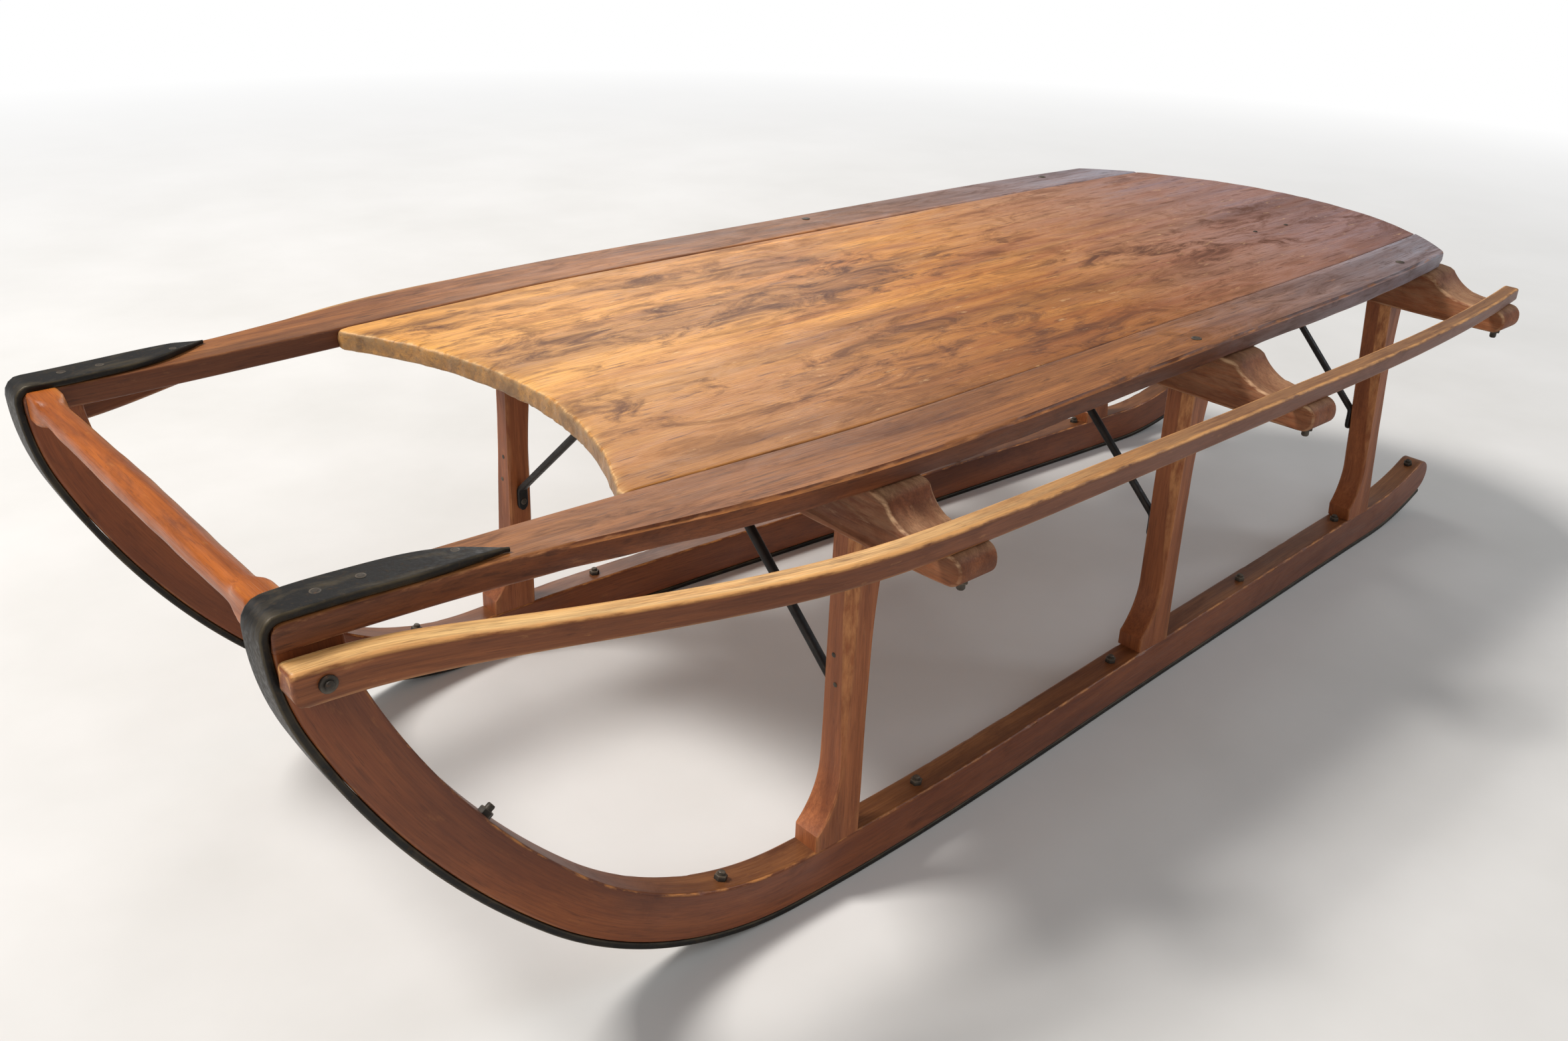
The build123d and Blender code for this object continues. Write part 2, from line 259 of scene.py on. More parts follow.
def smooth_curve(at, knots, values):
    """Curve through (knots, values) whose second slope is m at the knots and 0 at both ends:
    a(1-t) + b t + h^2/6 ((1-t)^3 - (1-t)) m0 + h^2/6 (t^3 - t) m1 on a span of length h."""
    steps = np.diff(knots)
    count = len(knots)
    system = np.eye(count)
    target = np.zeros(count)
    inner = np.arange(1, count - 1)
    system[inner, inner - 1] = steps[:-1]
    system[inner, inner] = 2 * (steps[:-1] + steps[1:])
    system[inner, inner + 1] = steps[1:]
    slopes = np.diff(values) / steps
    target[inner] = 6 * np.diff(slopes)
    bends = np.linalg.solve(system, target)
    span_index = np.clip(np.searchsorted(knots, at) - 1, 0, count - 2)
    h = steps[span_index]
    t = (at - knots[span_index]) / h
    straight = values[span_index] * (1 - t) + values[span_index + 1] * t
    sag = ((1 - t) ** 3 - (1 - t)) * bends[span_index] + (t**3 - t) * bends[span_index + 1]
    return straight + h**2 / 6 * sag


def plan_line(column, x):
    """How far out a line of the plan stands at x, which is held between tail and nose."""
    station = nose_x - np.clip(x, -nose_x, nose_x)
    return smooth_curve(station, plan_table[:, 0], plan_table[:, plan_columns.index(column)])


def fender_line(x):
    """How far out the fender rail's inner face stands at x, held the same way."""
    station = nose_x - np.clip(x, -nose_x, nose_x)
    return smooth_curve(station, fender_table[:, 0], fender_table[:, 1])


print("rail at the middle bench", round(float(plan_line("rail", nose_x - 962 * mm)), 4))

# %% [markdown]
# ## Wear
# Nothing on an old sled is quite straight. A value noise gives each surface a slight wave
# and takes chips out of its arrises. It is seeded, so each run wears the sled the same way.

# %% Steps and value noise
def ramp(value, start, run):
    """0 up to start, 1 from start + run on, and a straight line between."""
    return np.clip((value - start) / run, 0.0, 1.0)


def ease(t):
    """Soft step 3t^2 - 2t^3, level at t = 0 and at t = 1."""
    return t * t * (3 - 2 * t)


def wave(along, across, step_along, step_across, seed):
    """Smooth noise from -1 to 1: random values on a lattice, joined by 3t^2 - 2t^3 both ways."""
    lattice = np.random.default_rng(seed).uniform(-1.0, 1.0, (256, 256))
    a, b = np.broadcast_arrays(along / step_along, across / step_across)
    a0, b0 = np.floor(a).astype(int), np.floor(b).astype(int)
    ta, tb = ease(a - a0), ease(b - b0)
    near = lattice[a0 % 256, b0 % 256] * (1 - tb) + lattice[a0 % 256, (b0 + 1) % 256] * tb
    far_row = (a0 + 1) % 256
    far = lattice[far_row, b0 % 256] * (1 - tb) + lattice[far_row, (b0 + 1) % 256] * tb
    return near * (1 - ta) + far * ta


def chips(along, seed, step, share):
    """Depth from 0 to 1 of chips along an arris: noise above a level, so most of it stays whole."""
    level = 1 - 2 * share
    small = wave(along, along * 0 + 0.5, step, 1.0, seed)
    large = wave(along, along * 0 + 0.5, step * 6, 1.0, seed + 1)
    return ramp(0.6 * small + 0.6 * large, level * 0.6, 0.8)

# %% [markdown]
# ## Skins
# A long piece is a section carried along a path. The section is a bar with rounded arrises,
# and because each ring of it may have its own width, depth and rounding, one function
# serves runners, rails, posts and irons alike.

# %% Section and skin
sharp_angle = math.radians(38)


def bar_section(width, depth, rounding, across, upward, corner):
    """Rings of a rounded bar: each point is (s (w/2 - r) + r c, q (d/2 - r) + r e), where (s, q)
    walks round the square from -1 to 1 and (c, e) is the outward direction there. The counts
    are points between two corners, across and upward, and steps round a corner.
    Returns across, up, arris (1 at the corners, 0 on the flats)."""
    rows = []
    quarter = np.linspace(0, math.pi / 2, corner + 1)
    corners = ((1, -1), (1, 1), (-1, 1), (-1, -1))
    for k, (s0, q0) in enumerate(corners):
        side_turn = k * math.pi / 2
        for angle in quarter:
            a = side_turn - math.pi / 2 + angle
            sharp = max(math.sin(2 * angle), float(corner == 1))
            rows.append((s0, q0, math.cos(a), math.sin(a), sharp))
        s1, q1 = corners[(k + 1) % 4]
        outward = (math.cos(side_turn), math.sin(side_turn))
        for t in ease(np.linspace(0, 1, (upward, across)[k % 2] + 2)[1:-1]):
            rows.append((s0 + (s1 - s0) * t, q0 + (q1 - q0) * t, *outward, 0.0))
    s, q, c, e, arris = np.array(rows).T
    width, depth, rounding = (np.atleast_1d(v).reshape(-1, 1) for v in (width, depth, rounding))
    out = s * (width / 2 - rounding) + rounding * c
    high = q * (depth / 2 - rounding) + rounding * e
    return out, high, np.broadcast_to(arris, out.shape)


def points(x, y, z):
    """Rings of points from their coordinates, each spread out to the same shape."""
    return np.stack(np.broadcast_arrays(x, y, z), axis=-1)


def skin(name, rings, grain, arris, finish, slot, stands_for=()):
    """Closed surface over rings (ring, point, xyz), or over several lots of them: quads join
    each ring to the next and one face closes each end. The volume, a sum of p . (q x r) / 6,
    tells whether it is inside out."""
    rings = rings.reshape(-1, *rings.shape[-3:])
    corner = np.arange(rings[..., 0].size).reshape(rings.shape[:3])
    beside = np.roll(corner, -1, axis=2)
    quads = np.stack([corner[:, :-1], beside[:, :-1], beside[:, 1:], corner[:, 1:]], axis=-1)
    faces = quads.reshape(-1, 4).tolist() + corner[:, 0, ::-1].tolist() + corner[:, -1].tolist()
    mesh = bpy.data.meshes.new(name)
    mesh.from_pydata(rings.reshape(-1, 3).tolist(), [], faces)
    mesh.calc_loop_triangles()
    triangles = np.zeros(len(mesh.loop_triangles) * 3, int)
    mesh.loop_triangles.foreach_get("vertices", triangles)
    p, q, r = np.moveaxis(rings.reshape(-1, 3)[triangles.reshape(-1, 3)], 1, 0)
    volume = float(np.sum(p * np.cross(q, r)) / 6)
    if volume < 0:
        mesh.flip_normals()
    mesh.shade_smooth()
    mesh.set_sharp_from_angle(angle=sharp_angle)
    for label, kind, data in (("grain", "FLOAT_VECTOR", grain), ("arris", "FLOAT", arris)):
        layer = mesh.attributes.new(label, kind, "POINT")
        key = "vector" if kind == "FLOAT_VECTOR" else "value"
        layer.data.foreach_set(key, np.ascontiguousarray(data, np.float32).ravel())
    mesh.materials.append(finish)
    piece = bpy.data.objects.new(name, mesh)
    bpy.context.scene.collection.objects.link(piece)
    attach(piece, "root")
    if stands_for:
        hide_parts(*stands_for)
    print(f"{name}: {len(faces)} faces, {abs(volume) * 1e6:.0f} cm3")


def both_sides(name, shapes, finish, slot, node=""):
    """Left and right skins. Each shape is (rings, grain, arris) as on the left, and the
    right one's rings have y turned over."""
    for side_name, side, (rings, grain, arris) in zip(("left", "right"), (1, -1), shapes):
        rings = rings * np.array([1.0, side, 1.0])
        stands_for = (f"{node}_{side_name}",) if node else ()
        skin(f"{name}_{side_name}", rings, grain, arris, finish, slot, stands_for)

# %% [markdown]
# ## Old varnished wood
# All the timber is one sort of wood under old shellac, and it differs by how it was worn and by
# painted light. The finish lays colour over colour: streaks of the growth rings, a top colour that
# is partly wear and partly painted light from above (painted shade on the runners), zones along the
# piece, some of them painted sheen, shade and cool reflection, dark bands and blotches of old
# varnish, fibres, pores, scratches and the pale wood of rubbed arrises. All of it runs in the piece's
# own coordinates, so that the grain follows a bent plank round its bend.

# %% Wood finish
def old_wood(name, dark, middle, light, rubbed, *, streak, blotch, blotch_amount, rub_range,
             gloss, coat, relief, blotch_range=(0.52, 0.66), top_light_and_wear=None, top_light_and_wear_amount=0.0,
             end_cast=None, zones=(), strokes=0.25, scuffs=0.2, shine=0.3):
    """Wood under old varnish. Colours are dark, middle, light and the rubbed arris. A zone is
    (axis, start, end, colour, amount): along that grain axis the colour comes in from start
    to end, with a cloudy border."""
    material, tree, shader = new_finish(name)
    where = put(tree, "Attribute", attribute_name="grain").outputs["Vector"]
    arris = put(tree, "Attribute", attribute_name="arris").outputs["Fac"]
    rings = speckle(tree, where, streak, 6.0, 0.66, 0.5)
    fibres = speckle(tree, where, (18.0, 620.0, 620.0), 3.0, 0.6)
    pores = speckle(tree, where, (60.0, 1500.0, 1500.0), 2.0, 0.5)
    patches = speckle(tree, where, blotch, 8.0, 0.7, 0.9)
    cloud = speckle(tree, where, (2.2, 7.0, 7.0), 3.0, 0.5)
    dashes = speckle(tree, where, (26.0, 230.0, 230.0), 3.0, 0.55)
    scraped = speckle(tree, where, (34.0, 120.0, 120.0), 5.0, 0.7)
    bands = speckle(tree, where, (1.3, 13.0, 13.0), 4.0, 0.6, 0.4)
    ragged = speckle(tree, where, (40.0, 160.0, 160.0), 5.0, 0.65)

    colour = over(tree, span(tree, rings, 0.38, 0.62), middle, light)
    colour = over(tree, span(tree, cloud, 0.45, 0.7, 0.0, 0.55), colour, middle)
    # tops take the top colour by how far they face up: partly wear, partly painted light from above
    if top_light_and_wear:
        upward = span(tree, facing(tree, "z"), 0.6, 0.95)
        worn = times(tree, upward, span(tree, cloud, 0.3, 0.6, 0.75, 1.0))
        cast = over(tree, span(tree, rings, 0.35, 0.65), *top_light_and_wear)
        colour = over(tree, times(tree, worn, top_light_and_wear_amount), colour, cast)
    for axis, start, end, tint, amount in zones:
        border = 0.16 * abs(end - start)
        place = put(tree, "SeparateXYZ", {0: where}).outputs[axis]
        place = reckon(tree, "ADD", place, span(tree, patches, 0.3, 0.7, -border, border))
        inside = span(tree, place, start, end, 0.0, amount)
        mottled = times(tree, inside, span(tree, rings, 0.3, 0.6, 0.55, 1.0))
        colour = over(tree, mottled, colour, tint)

    blots = span(tree, patches, *blotch_range, 0.0, blotch_amount)
    blots = times(tree, blots, span(tree, cloud, 0.38, 0.58, 0.15, 1.0))
    rub = times(tree, arris, span(tree, ragged, *rub_range))
    stains = (
        (span(tree, bands, 0.47, 0.6, 0.0, 0.42), dark),
        (blots, dark),
        (span(tree, fibres, 0.42, 0.62, 0.0, 0.28), dark),
        (span(tree, dashes, 0.6, 0.68, 0.0, strokes), dark),
        (span(tree, pores, 0.62, 0.7, 0.0, 0.5), dark),
        (span(tree, scraped, 0.62, 0.72, 0.0, scuffs), rubbed),
        (rub, rubbed),
    )
    for amount, stain in stains:
        colour = over(tree, amount, colour, stain)
    if end_cast:
        tint, amount = end_cast
        ahead = span(tree, facing(tree, "x"), 0.45, 0.8, 0.0, amount)
        weathered = times(tree, ahead, span(tree, ragged, 0.3, 0.6, 0.6, 1.0))
        colour = over(tree, weathered, colour, tint)
    tree.links.new(colour, shader.inputs["Base Color"])

    rough = span(tree, patches, 0.35, 0.65, *gloss)
    rough = reckon(tree, "ADD", rough, times(tree, rub, 0.2))
    tree.links.new(rough, shader.inputs["Roughness"])
    shader.inputs["Specular IOR Level"].default_value = shine
    shader.inputs["Coat Weight"].default_value = coat
    shader.inputs["Coat Roughness"].default_value = 0.3
    height = reckon(tree, "ADD", rings, times(tree, fibres, 0.8))
    height = reckon(tree, "SUBTRACT", height, times(tree, pores, 0.3))
    emboss(tree, shader, height, relief, 1.2 * mm)
    return material

# %% [markdown]
# ## Runners
# A runner is a plank 29 mm thick, steamed and bent up at the nose in three arcs of growing
# and shrinking radius, and lifted a little at the tail. In plan it bows outwards. The bend
# is walked arc by arc, and the section is carried along it, so the grain runs round too.

# %% Bent path
def bent_path(start, heading, bends, step):
    """Walks bends of (length, turn). In a bend the heading is a = a0 + k s with k = turn/length,
    and x = x0 + (sin a - sin a0)/k, z = z0 - (cos a - cos a0)/k; where k is 0 the run is straight.
    Returns s, x, z and heading at about equal steps."""
    x, z = start
    pieces, walked = [], 0.0
    for length, bend in bends:
        count = max(3, int(round(length / step)))
        s = np.linspace(0, length, count + 1)
        k = bend / length
        a = heading + k * s
        if abs(k) > 1e-9:
            run_x, run_z = (np.sin(a) - math.sin(heading)) / k, -(np.cos(a) - math.cos(heading)) / k
        else:
            run_x, run_z = s * math.cos(heading), s * math.sin(heading)
        piece = np.stack([walked + s, x + run_x, z + run_z, a])
        pieces.append(piece[:, :-1])
        walked, x, z, heading = walked + length, piece[1, -1], piece[2, -1], a[-1]
    pieces.append(piece[:, -1:])
    return np.concatenate(pieces, axis=1)


sole_z = 6.3 * mm
deck_z = 420 * mm
bench_top_z = 401 * mm
runner_depth, runner_thickness = 44 * mm, 29 * mm
wood_front_x = 825.2 * mm
nose_rise = deck_z - 8 * mm - sole_z
low_bend, middle_bend, tail_bend = np.radians([44.0, 23.5, 19.0])
low_radius, middle_radius, tail_radius = 0.83 * nose_rise, 1.71 * nose_rise, 425 * mm
steep = low_bend + middle_bend
risen = low_radius * (1 - math.cos(low_bend))
risen += middle_radius * (math.cos(low_bend) - math.cos(steep))
top_radius = (nose_rise - risen) / math.cos(steep)
bend_run = low_radius * math.sin(low_bend) + top_radius * (1 - math.sin(steep))
bend_run += middle_radius * (math.sin(steep) - math.sin(low_bend))
flat_front_x = wood_front_x - bend_run
tail_x = -nose_x + 22 * mm * (1 - math.sin(tail_bend))
tail_z = sole_z + tail_radius * (1 - math.cos(tail_bend))
flat_rear_x = tail_x + tail_radius * math.sin(tail_bend)
sole_bends = [
    (tail_radius * tail_bend, tail_bend),
    (flat_front_x - flat_rear_x, 0.0),
    (low_radius * low_bend, low_bend),
    (middle_radius * middle_bend, middle_bend),
    (top_radius * (math.pi / 2 - steep), math.pi / 2 - steep),
]
sole = bent_path((tail_x, tail_z), -tail_bend, sole_bends, 6 * mm)
print("sole", round(sole[0, -1], 3), "m long, ends at", sole[1:3, -1].round(4))


def beside_path(path, s, rise):
    """Point at distance s along a path and rise to its left: p(s) + rise (-sin a, cos a)."""
    x, z, a = (np.interp(s, path[0], path[k]) for k in (1, 2, 3))
    return x - rise * np.sin(a), z + rise * np.cos(a), a

# %% Runner skins
runner_finish = old_wood(
    "runner_varnish", paint(70, 32, 16), paint(118, 60, 30), paint(142, 78, 40), paint(206, 138, 74),
    streak=(3.0, 30.0, 30.0), blotch=(9.0, 26.0, 26.0), blotch_amount=0.55,
    # the runner's top colour is painted shade, the shadow of the deck above it
    top_light_and_wear=(paint(96, 62, 36), paint(150, 102, 60)), top_light_and_wear_amount=0.75,
    rub_range=(0.46, 0.62), gloss=(0.34, 0.5), coat=0.15, relief=0.18, scuffs=0.12,
)


def runner_rings(seed):
    """Rings along the sole from tail to bench height. The tail's rings shrink as
    r cos(phi) and step back r sin(phi), which rounds it; the top is trimmed level."""
    count, half = 330, runner_depth / 2
    out, high, arris = bar_section(runner_thickness, runner_depth, 2.2 * mm, 7, 9, 3)
    high = high + half
    s_end = np.full_like(high, sole[0, -1])
    for _ in range(6):
        x, z, a = beside_path(sole, s_end, high)
        s_end = s_end - (z - bench_top_z) / np.maximum(np.sin(a), 0.5)
    phi = np.radians(np.linspace(86.0, 6.0, 9))[:, None]
    tail_high = half + (high - half) * np.cos(phi)
    body_s = np.linspace(0.0, 1.0, count)[:, None] * s_end
    s = np.concatenate([-half * np.sin(phi) + 0 * tail_high, body_s])
    high = np.concatenate([tail_high, np.broadcast_to(high, body_s.shape)])
    top_side = ramp(high, half, half)
    chipped = chips(s, seed, 0.012, 0.3) * top_side * arris
    high = high - 1.8 * mm * chipped
    x, z, a = beside_path(sole, np.maximum(s, 0.0), high)
    back = np.minimum(s, 0.0)
    x, z = x + back * np.cos(a), z + back * np.sin(a)
    y = plan_line("runner", x) - runner_thickness / 2 + out * (1 - 0.1 * chipped)
    grain = points(s, out + 0.3 + seed, high)
    return points(x, y, np.minimum(z, bench_top_z)), grain, arris * (0.25 + 0.75 * top_side)


both_sides("runner_plank", map(runner_rings, (11, 23)), runner_finish, "runner_wood", "runner")

# %% [markdown]
# ## Shoes
# Each shoe is one iron strap: it runs under the sole, up the nose, folds back over the rail
# and ends as a long pointed tongue. It follows the same walked path as the runner, with the
# fold and the tongue added, and only its width changes, so it is one skin from end to end.

# %% Iron finish
def old_iron(name, black, grey, rust, bare_range=(0.5, 0.68), bare_amount=0.6):
    """Black iron: grey where rubbed bare, brown where rust holds, with a hammered surface."""
    material, tree, shader = new_finish(name)
    where = put(tree, "Attribute", attribute_name="grain").outputs["Vector"]
    arris = put(tree, "Attribute", attribute_name="arris").outputs["Fac"]
    cloud = speckle(tree, where, (26.0, 60.0, 60.0), 6.0, 0.62, 0.5)
    fine = speckle(tree, where, (240.0, 300.0, 300.0), 4.0, 0.6)
    hammer = speckle(tree, where, (60.0, 80.0, 80.0), 3.0, 0.5)
    bare = span(tree, cloud, *bare_range, 0.0, bare_amount)
    bare = times(tree, bare, span(tree, facing(tree, "z"), -0.2, 0.8, 0.35, 1.0))
    colour = over(tree, bare, black, grey)
    colour = over(tree, span(tree, fine, 0.56, 0.72, 0.0, 0.45), colour, rust)
    rub = times(tree, arris, span(tree, cloud, 0.35, 0.6, 0.15, 0.8))
    colour = over(tree, rub, colour, grey)
    tree.links.new(colour, shader.inputs["Base Color"])
    tree.links.new(span(tree, fine, 0.3, 0.7, 0.36, 0.62), shader.inputs["Roughness"])
    tree.links.new(span(tree, bare, 0.0, 1.0, 0.15, 0.45), shader.inputs["Metallic"])
    shader.inputs["Specular IOR Level"].default_value = 0.3
    emboss(tree, shader, reckon(tree, "ADD", hammer, times(tree, fine, 0.5)), 0.35, 0.8 * mm)
    return material


shoe_finish = old_iron("shoe_black_iron", paint(22, 20, 18), paint(82, 72, 54), paint(72, 54, 34))
brace_finish = old_iron("brace_black_iron", paint(26, 25, 25), paint(84, 80, 76), paint(66, 48, 36),
                        bare_range=(0.6, 0.75), bare_amount=0.4)

# %% Shoe skins
fold_radius = 8 * mm
strap_thickness, strap_gap = 6 * mm, 0.3 * mm
tongue_run = wood_front_x - fold_radius - (nose_x - tongue_table[-1, 0])
strap_bends = sole_bends + [(fold_radius * math.pi / 2, math.pi / 2), (tongue_run, 0.0)]
strap = bent_path((tail_x, tail_z), -tail_bend, strap_bends, 3 * mm)
print("strap", round(strap[0, -1], 3), "m long with its tongue")


def shoe_rings(seed):
    """Rings along the strap. Its edges are the runner's, and past the fold they pass over
    to the tongue's own lines by t = 3u^2 - 2u^3 of the way round the fold."""
    s = strap[0][:, None]
    thick = strap_thickness * (0.62 + 0.38 * ramp(s[-1, 0] - s, 0.0, 26 * mm))
    x_mid, _, _ = beside_path(strap, s, -strap_gap - strap_thickness / 2)
    outer = plan_line("runner", x_mid)
    inner = outer - runner_thickness
    u = ease(ramp(s, sole[0, -1], fold_radius * math.pi / 2))
    station = np.clip(nose_x - x_mid, 0.0, tongue_table[-1, 0])
    edges = [smooth_curve(station, tongue_table[:, 0], tongue_table[:, k]) for k in (1, 2)]
    inner = inner * (1 - u) + edges[0] * u
    outer = outer * (1 - u) + edges[1] * u
    wide = np.maximum(outer - inner, 2.4 * mm)
    rounding = np.minimum(1.7 * mm, 0.42 * np.minimum(wide, thick))
    out, high, arris = bar_section(wide, thick, rounding, 7, 1, 3)
    rise = -strap_gap - strap_thickness + thick / 2 + high
    rise = np.where(u > 0.5, -strap_gap - thick / 2 + high, rise)
    dent = 0.3 * mm * (1 + wave(s, out, 30 * mm, 20 * mm, seed)) * (high < 0) * (u > 0.99)
    x, z, _ = beside_path(strap, s, rise + dent)
    y = (inner + outer) / 2 + out
    return points(x, y, z), points(s, out + 0.4 + seed, high), arris


both_sides("shoe_strap", map(shoe_rings, (31, 47)), shoe_finish, "shoe_iron", "shoe")

# %% [markdown]
# ## Side rails
# The rails are boards beside the deck that run on to the nose. Their outer arris carries
# the chips of every hand and wall it met, so the rounding there is broken by noise. The
# front is rounded under the iron's fold and the rear follows the deck's one large circle.

# %% Rounded ends
def smaller(offset, less):
    """Offset from the middle, brought nearer to it by less."""
    return np.sign(offset) * np.maximum(np.abs(offset) - less, 0.0)


def with_ends(start, end, out, high, rounding, count):
    """Rings from start to end: (out, high) keeps its shape, and near each end it shrinks by
    r (1 - cos phi) while it steps r (1 - sin phi) short of the end. Returns s, out, high."""
    phi = np.radians(np.linspace(0.0, 86.0, 5))[:, None]
    short, shrink = rounding * (1 - np.sin(phi)), rounding * (1 - np.cos(phi))
    share = np.linspace(0.0, 1.0, count + 2)[1:-1, None]
    body = (start + rounding) + share * (end - start - 2 * rounding)
    s = np.concatenate([start + short[::-1], body, end - short]) + 0 * out
    less = np.concatenate([shrink[::-1], 0 * body, shrink])
    return s, smaller(out, less), smaller(high, less)

# %% Rail skins
rail_finish = old_wood(
    "rail_varnish", paint(58, 32, 22), paint(112, 62, 36), paint(138, 80, 46), paint(172, 116, 72),
    streak=(4.0, 60.0, 60.0), blotch=(14.0, 38.0, 38.0), blotch_amount=0.6,
    # lighter tops: partly wear, partly painted light from above
    top_light_and_wear=(paint(130, 78, 38), paint(188, 124, 64)), top_light_and_wear_amount=0.8,
    rub_range=(0.5, 0.66), gloss=(0.42, 0.58), coat=0.08, relief=0.3, strokes=0.5, scuffs=0.3,
    # the rear turns grey-blue: painted reflection of cool light from the rear
    zones=((0, -0.05, -0.6, paint(156, 158, 172), 0.9),),
)
board_thickness, fit_gap = 19 * mm, 0.3 * mm
rail_width = 46 * mm
rear_circle_radius = 365 * mm
rear_circle_x = rear_circle_radius + 124 * mm - nose_x


def rear_edge(y):
    """x of the rear circle at y: x = xc - sqrt(R^2 - y^2)."""
    return rear_circle_x - np.sqrt(np.maximum(rear_circle_radius**2 - y**2, 1e-8))


def rail_rings(seed):
    """Rings along the rail. A point's x depends on its y through the rear circle and its y
    on x through the plan, so the two are worked out in turn until they settle."""
    lateral, high, arris = bar_section(rail_width, board_thickness, 2.6 * mm, 7, 3, 4)
    t, lateral, high = with_ends(0.0, 1.0, lateral, high, 0.0015, 300)
    half = board_thickness / 2
    drop = np.clip(high + half - (board_thickness - fold_radius), 0.0, fold_radius)
    front = wood_front_x - (fold_radius - np.sqrt(fold_radius**2 - drop**2))
    x = front - t * 1.3
    for _ in range(6):
        inner = plan_line("joint", x) + fit_gap
        outer = plan_line("rail", x)
        y = inner + (outer - inner) * (0.5 + lateral / rail_width)
        x = front + t * (rear_edge(y) - front)
    worn = 0.6 + 0.6 * wave(x, 0 * x, 0.05, 1.0, seed) + chips(x, seed + 3, 0.008, 0.4)
    clear = ramp(nose_x - x, 170 * mm, 30 * mm)
    worn = worn * clear * arris * (lateral > 0) * (high > 0)
    hollow = clear * (lateral > 15 * mm) * (high < 0) * (1 + wave(x, 0 * x, 0.035, 1.0, seed + 5))
    y = y - 1.9 * mm * worn - 1.0 * mm * hollow
    z = bench_top_z + half + high - 1.5 * mm * worn
    grain = points(x, y - inner + 0.1 * seed, high)
    return points(x, y, z), grain, arris * (0.3 + 0.7 * (lateral > 0))


both_sides("side_rail_board", map(rail_rings, (5, 9)), rail_finish, "rail_wood", "side_rail")

# %% [markdown]
# ## Deck board
# The deck is one wide board. Its front end is hollowed by a circle and has gone ragged:
# feet broke the short grain away, so the edge wanders and the arris is gone. Its varnish is
# golden where hands rubbed it and dark where old blotches stayed. Its golden front half and far
# side are painted sheen, its darker near side painted shade, and its purplish rear a painted
# reflection of cool light.

# %% Deck finish
deck_finish = old_wood(
    "deck_varnish", paint(84, 44, 24), paint(172, 102, 40), paint(226, 154, 66), paint(234, 192, 136),
    streak=(3.6, 44.0, 44.0), blotch=(13.0, 34.0, 34.0), blotch_range=(0.48, 0.62), blotch_amount=0.9,
    rub_range=(0.4, 0.7), gloss=(0.4, 0.58), coat=0.05, relief=0.3, strokes=0.6, scuffs=0.4,
    # front half and far side golden: painted sheen; near side darker: painted shade; rear purplish-grey:
    # painted reflection of cool light
    zones=((0, 0.05, 0.5, paint(242, 178, 88), 0.65), (1, 0.0, 0.2, paint(128, 72, 38), 0.7),
           (1, -0.05, -0.24, paint(236, 166, 76), 0.45), (0, -0.08, -0.6, paint(144, 118, 122), 0.95)),
    end_cast=(paint(120, 98, 74), 0.75),
)

# %% Deck skin
deck_front_x = nose_x - 274 * mm
hollow_depth = 61 * mm
hollow_half = plan_line("joint", deck_front_x) - 6 * mm
hollow_radius = (hollow_half**2 + hollow_depth**2) / (2 * hollow_depth)
hollow_x = deck_front_x - hollow_depth + hollow_radius


def front_edge(y, high, seed):
    """x of the hollow at y: xc - sqrt(R^2 - y^2), at most the board's own front, less the
    ragged break: two noises of the place along the edge and of the height in the board."""
    arc = hollow_x - np.sqrt(np.maximum(hollow_radius**2 - y**2, 1e-8))
    arc = np.where(np.abs(y) > hollow_half, deck_front_x, np.minimum(arc, deck_front_x))
    ragged = 1.3 * mm * np.abs(wave(y, high, 0.019, 0.009, seed))
    ragged = ragged + 1.1 * mm * np.abs(wave(y, high, 0.006, 0.005, seed + 1))
    broken = chips(y, seed + 2, 0.011, 0.45) * (1.8 + 1.2 * wave(y, high, 0.02, 0.006, seed + 4)) * mm
    return arc - ragged - broken


def deck_rings(seed):
    """Rings across the board: each is a loop from rear edge to front edge and back beneath."""
    loops, long_way, half_width, edge_round = 150, 1.2, 220 * mm, 1.4 * mm
    out, high, arris = bar_section(long_way, board_thickness, 2.6 * mm, 210, 3, 4)
    share = out / long_way + 0.5
    phi = np.radians([28.0, 56.0, 84.0])
    edge_v = 1 - edge_round / half_width * (1 - np.sin(phi))
    inner_v = np.linspace(-1.0, 1.0, loops) * (1 - edge_round / half_width)
    v = np.concatenate([-edge_v[::-1], inner_v, edge_v])[:, None]
    shrink = edge_round * (1 - np.cos(phi))
    high = smaller(high, np.concatenate([shrink[::-1], 0 * inner_v, shrink])[:, None])
    x = 0 * v + (share - 0.5)
    for _ in range(6):
        y = v * (plan_line("joint", x) - fit_gap)
        rear = rear_edge(y) + 0.6 * mm * np.abs(wave(y, high, 0.012, 0.008, seed + 7))
        front = front_edge(y, high, seed)
        x = rear + share * (front - rear)
    top = ramp(high, 0.0, board_thickness / 2)
    near_front = 1 - ramp(front - x, 0.0, 14 * mm)
    hollow = 0.35 * mm * (1 + wave(x, y, 0.16, 0.05, seed + 8))
    hollow = hollow + 0.25 * mm * (1 + wave(x, y, 0.05, 0.012, seed + 9))
    hollow = hollow + 1.6 * mm * near_front**2 * (0.6 + 0.4 * wave(y, x, 0.014, 0.02, seed + 10))
    z = bench_top_z + board_thickness / 2 + high - top * hollow
    rubbed = np.clip(arris * (x > 0) + near_front**3 * top, 0.0, 1.0)
    return points(x, y, z), points(x, y, high), rubbed


skin("deck_plank", *deck_rings(3), deck_finish, "deck_wood", ("deck_board",))

# %% [markdown]
# ## Benches
# Three cross pieces carry the deck. Past the rail each one sweeps down in a hollow curve to
# a thin rounded tip that holds the fender rail. The outline is drawn once for a reach and a
# lip, softened a little at its corners, and carried along the bench's thickness.

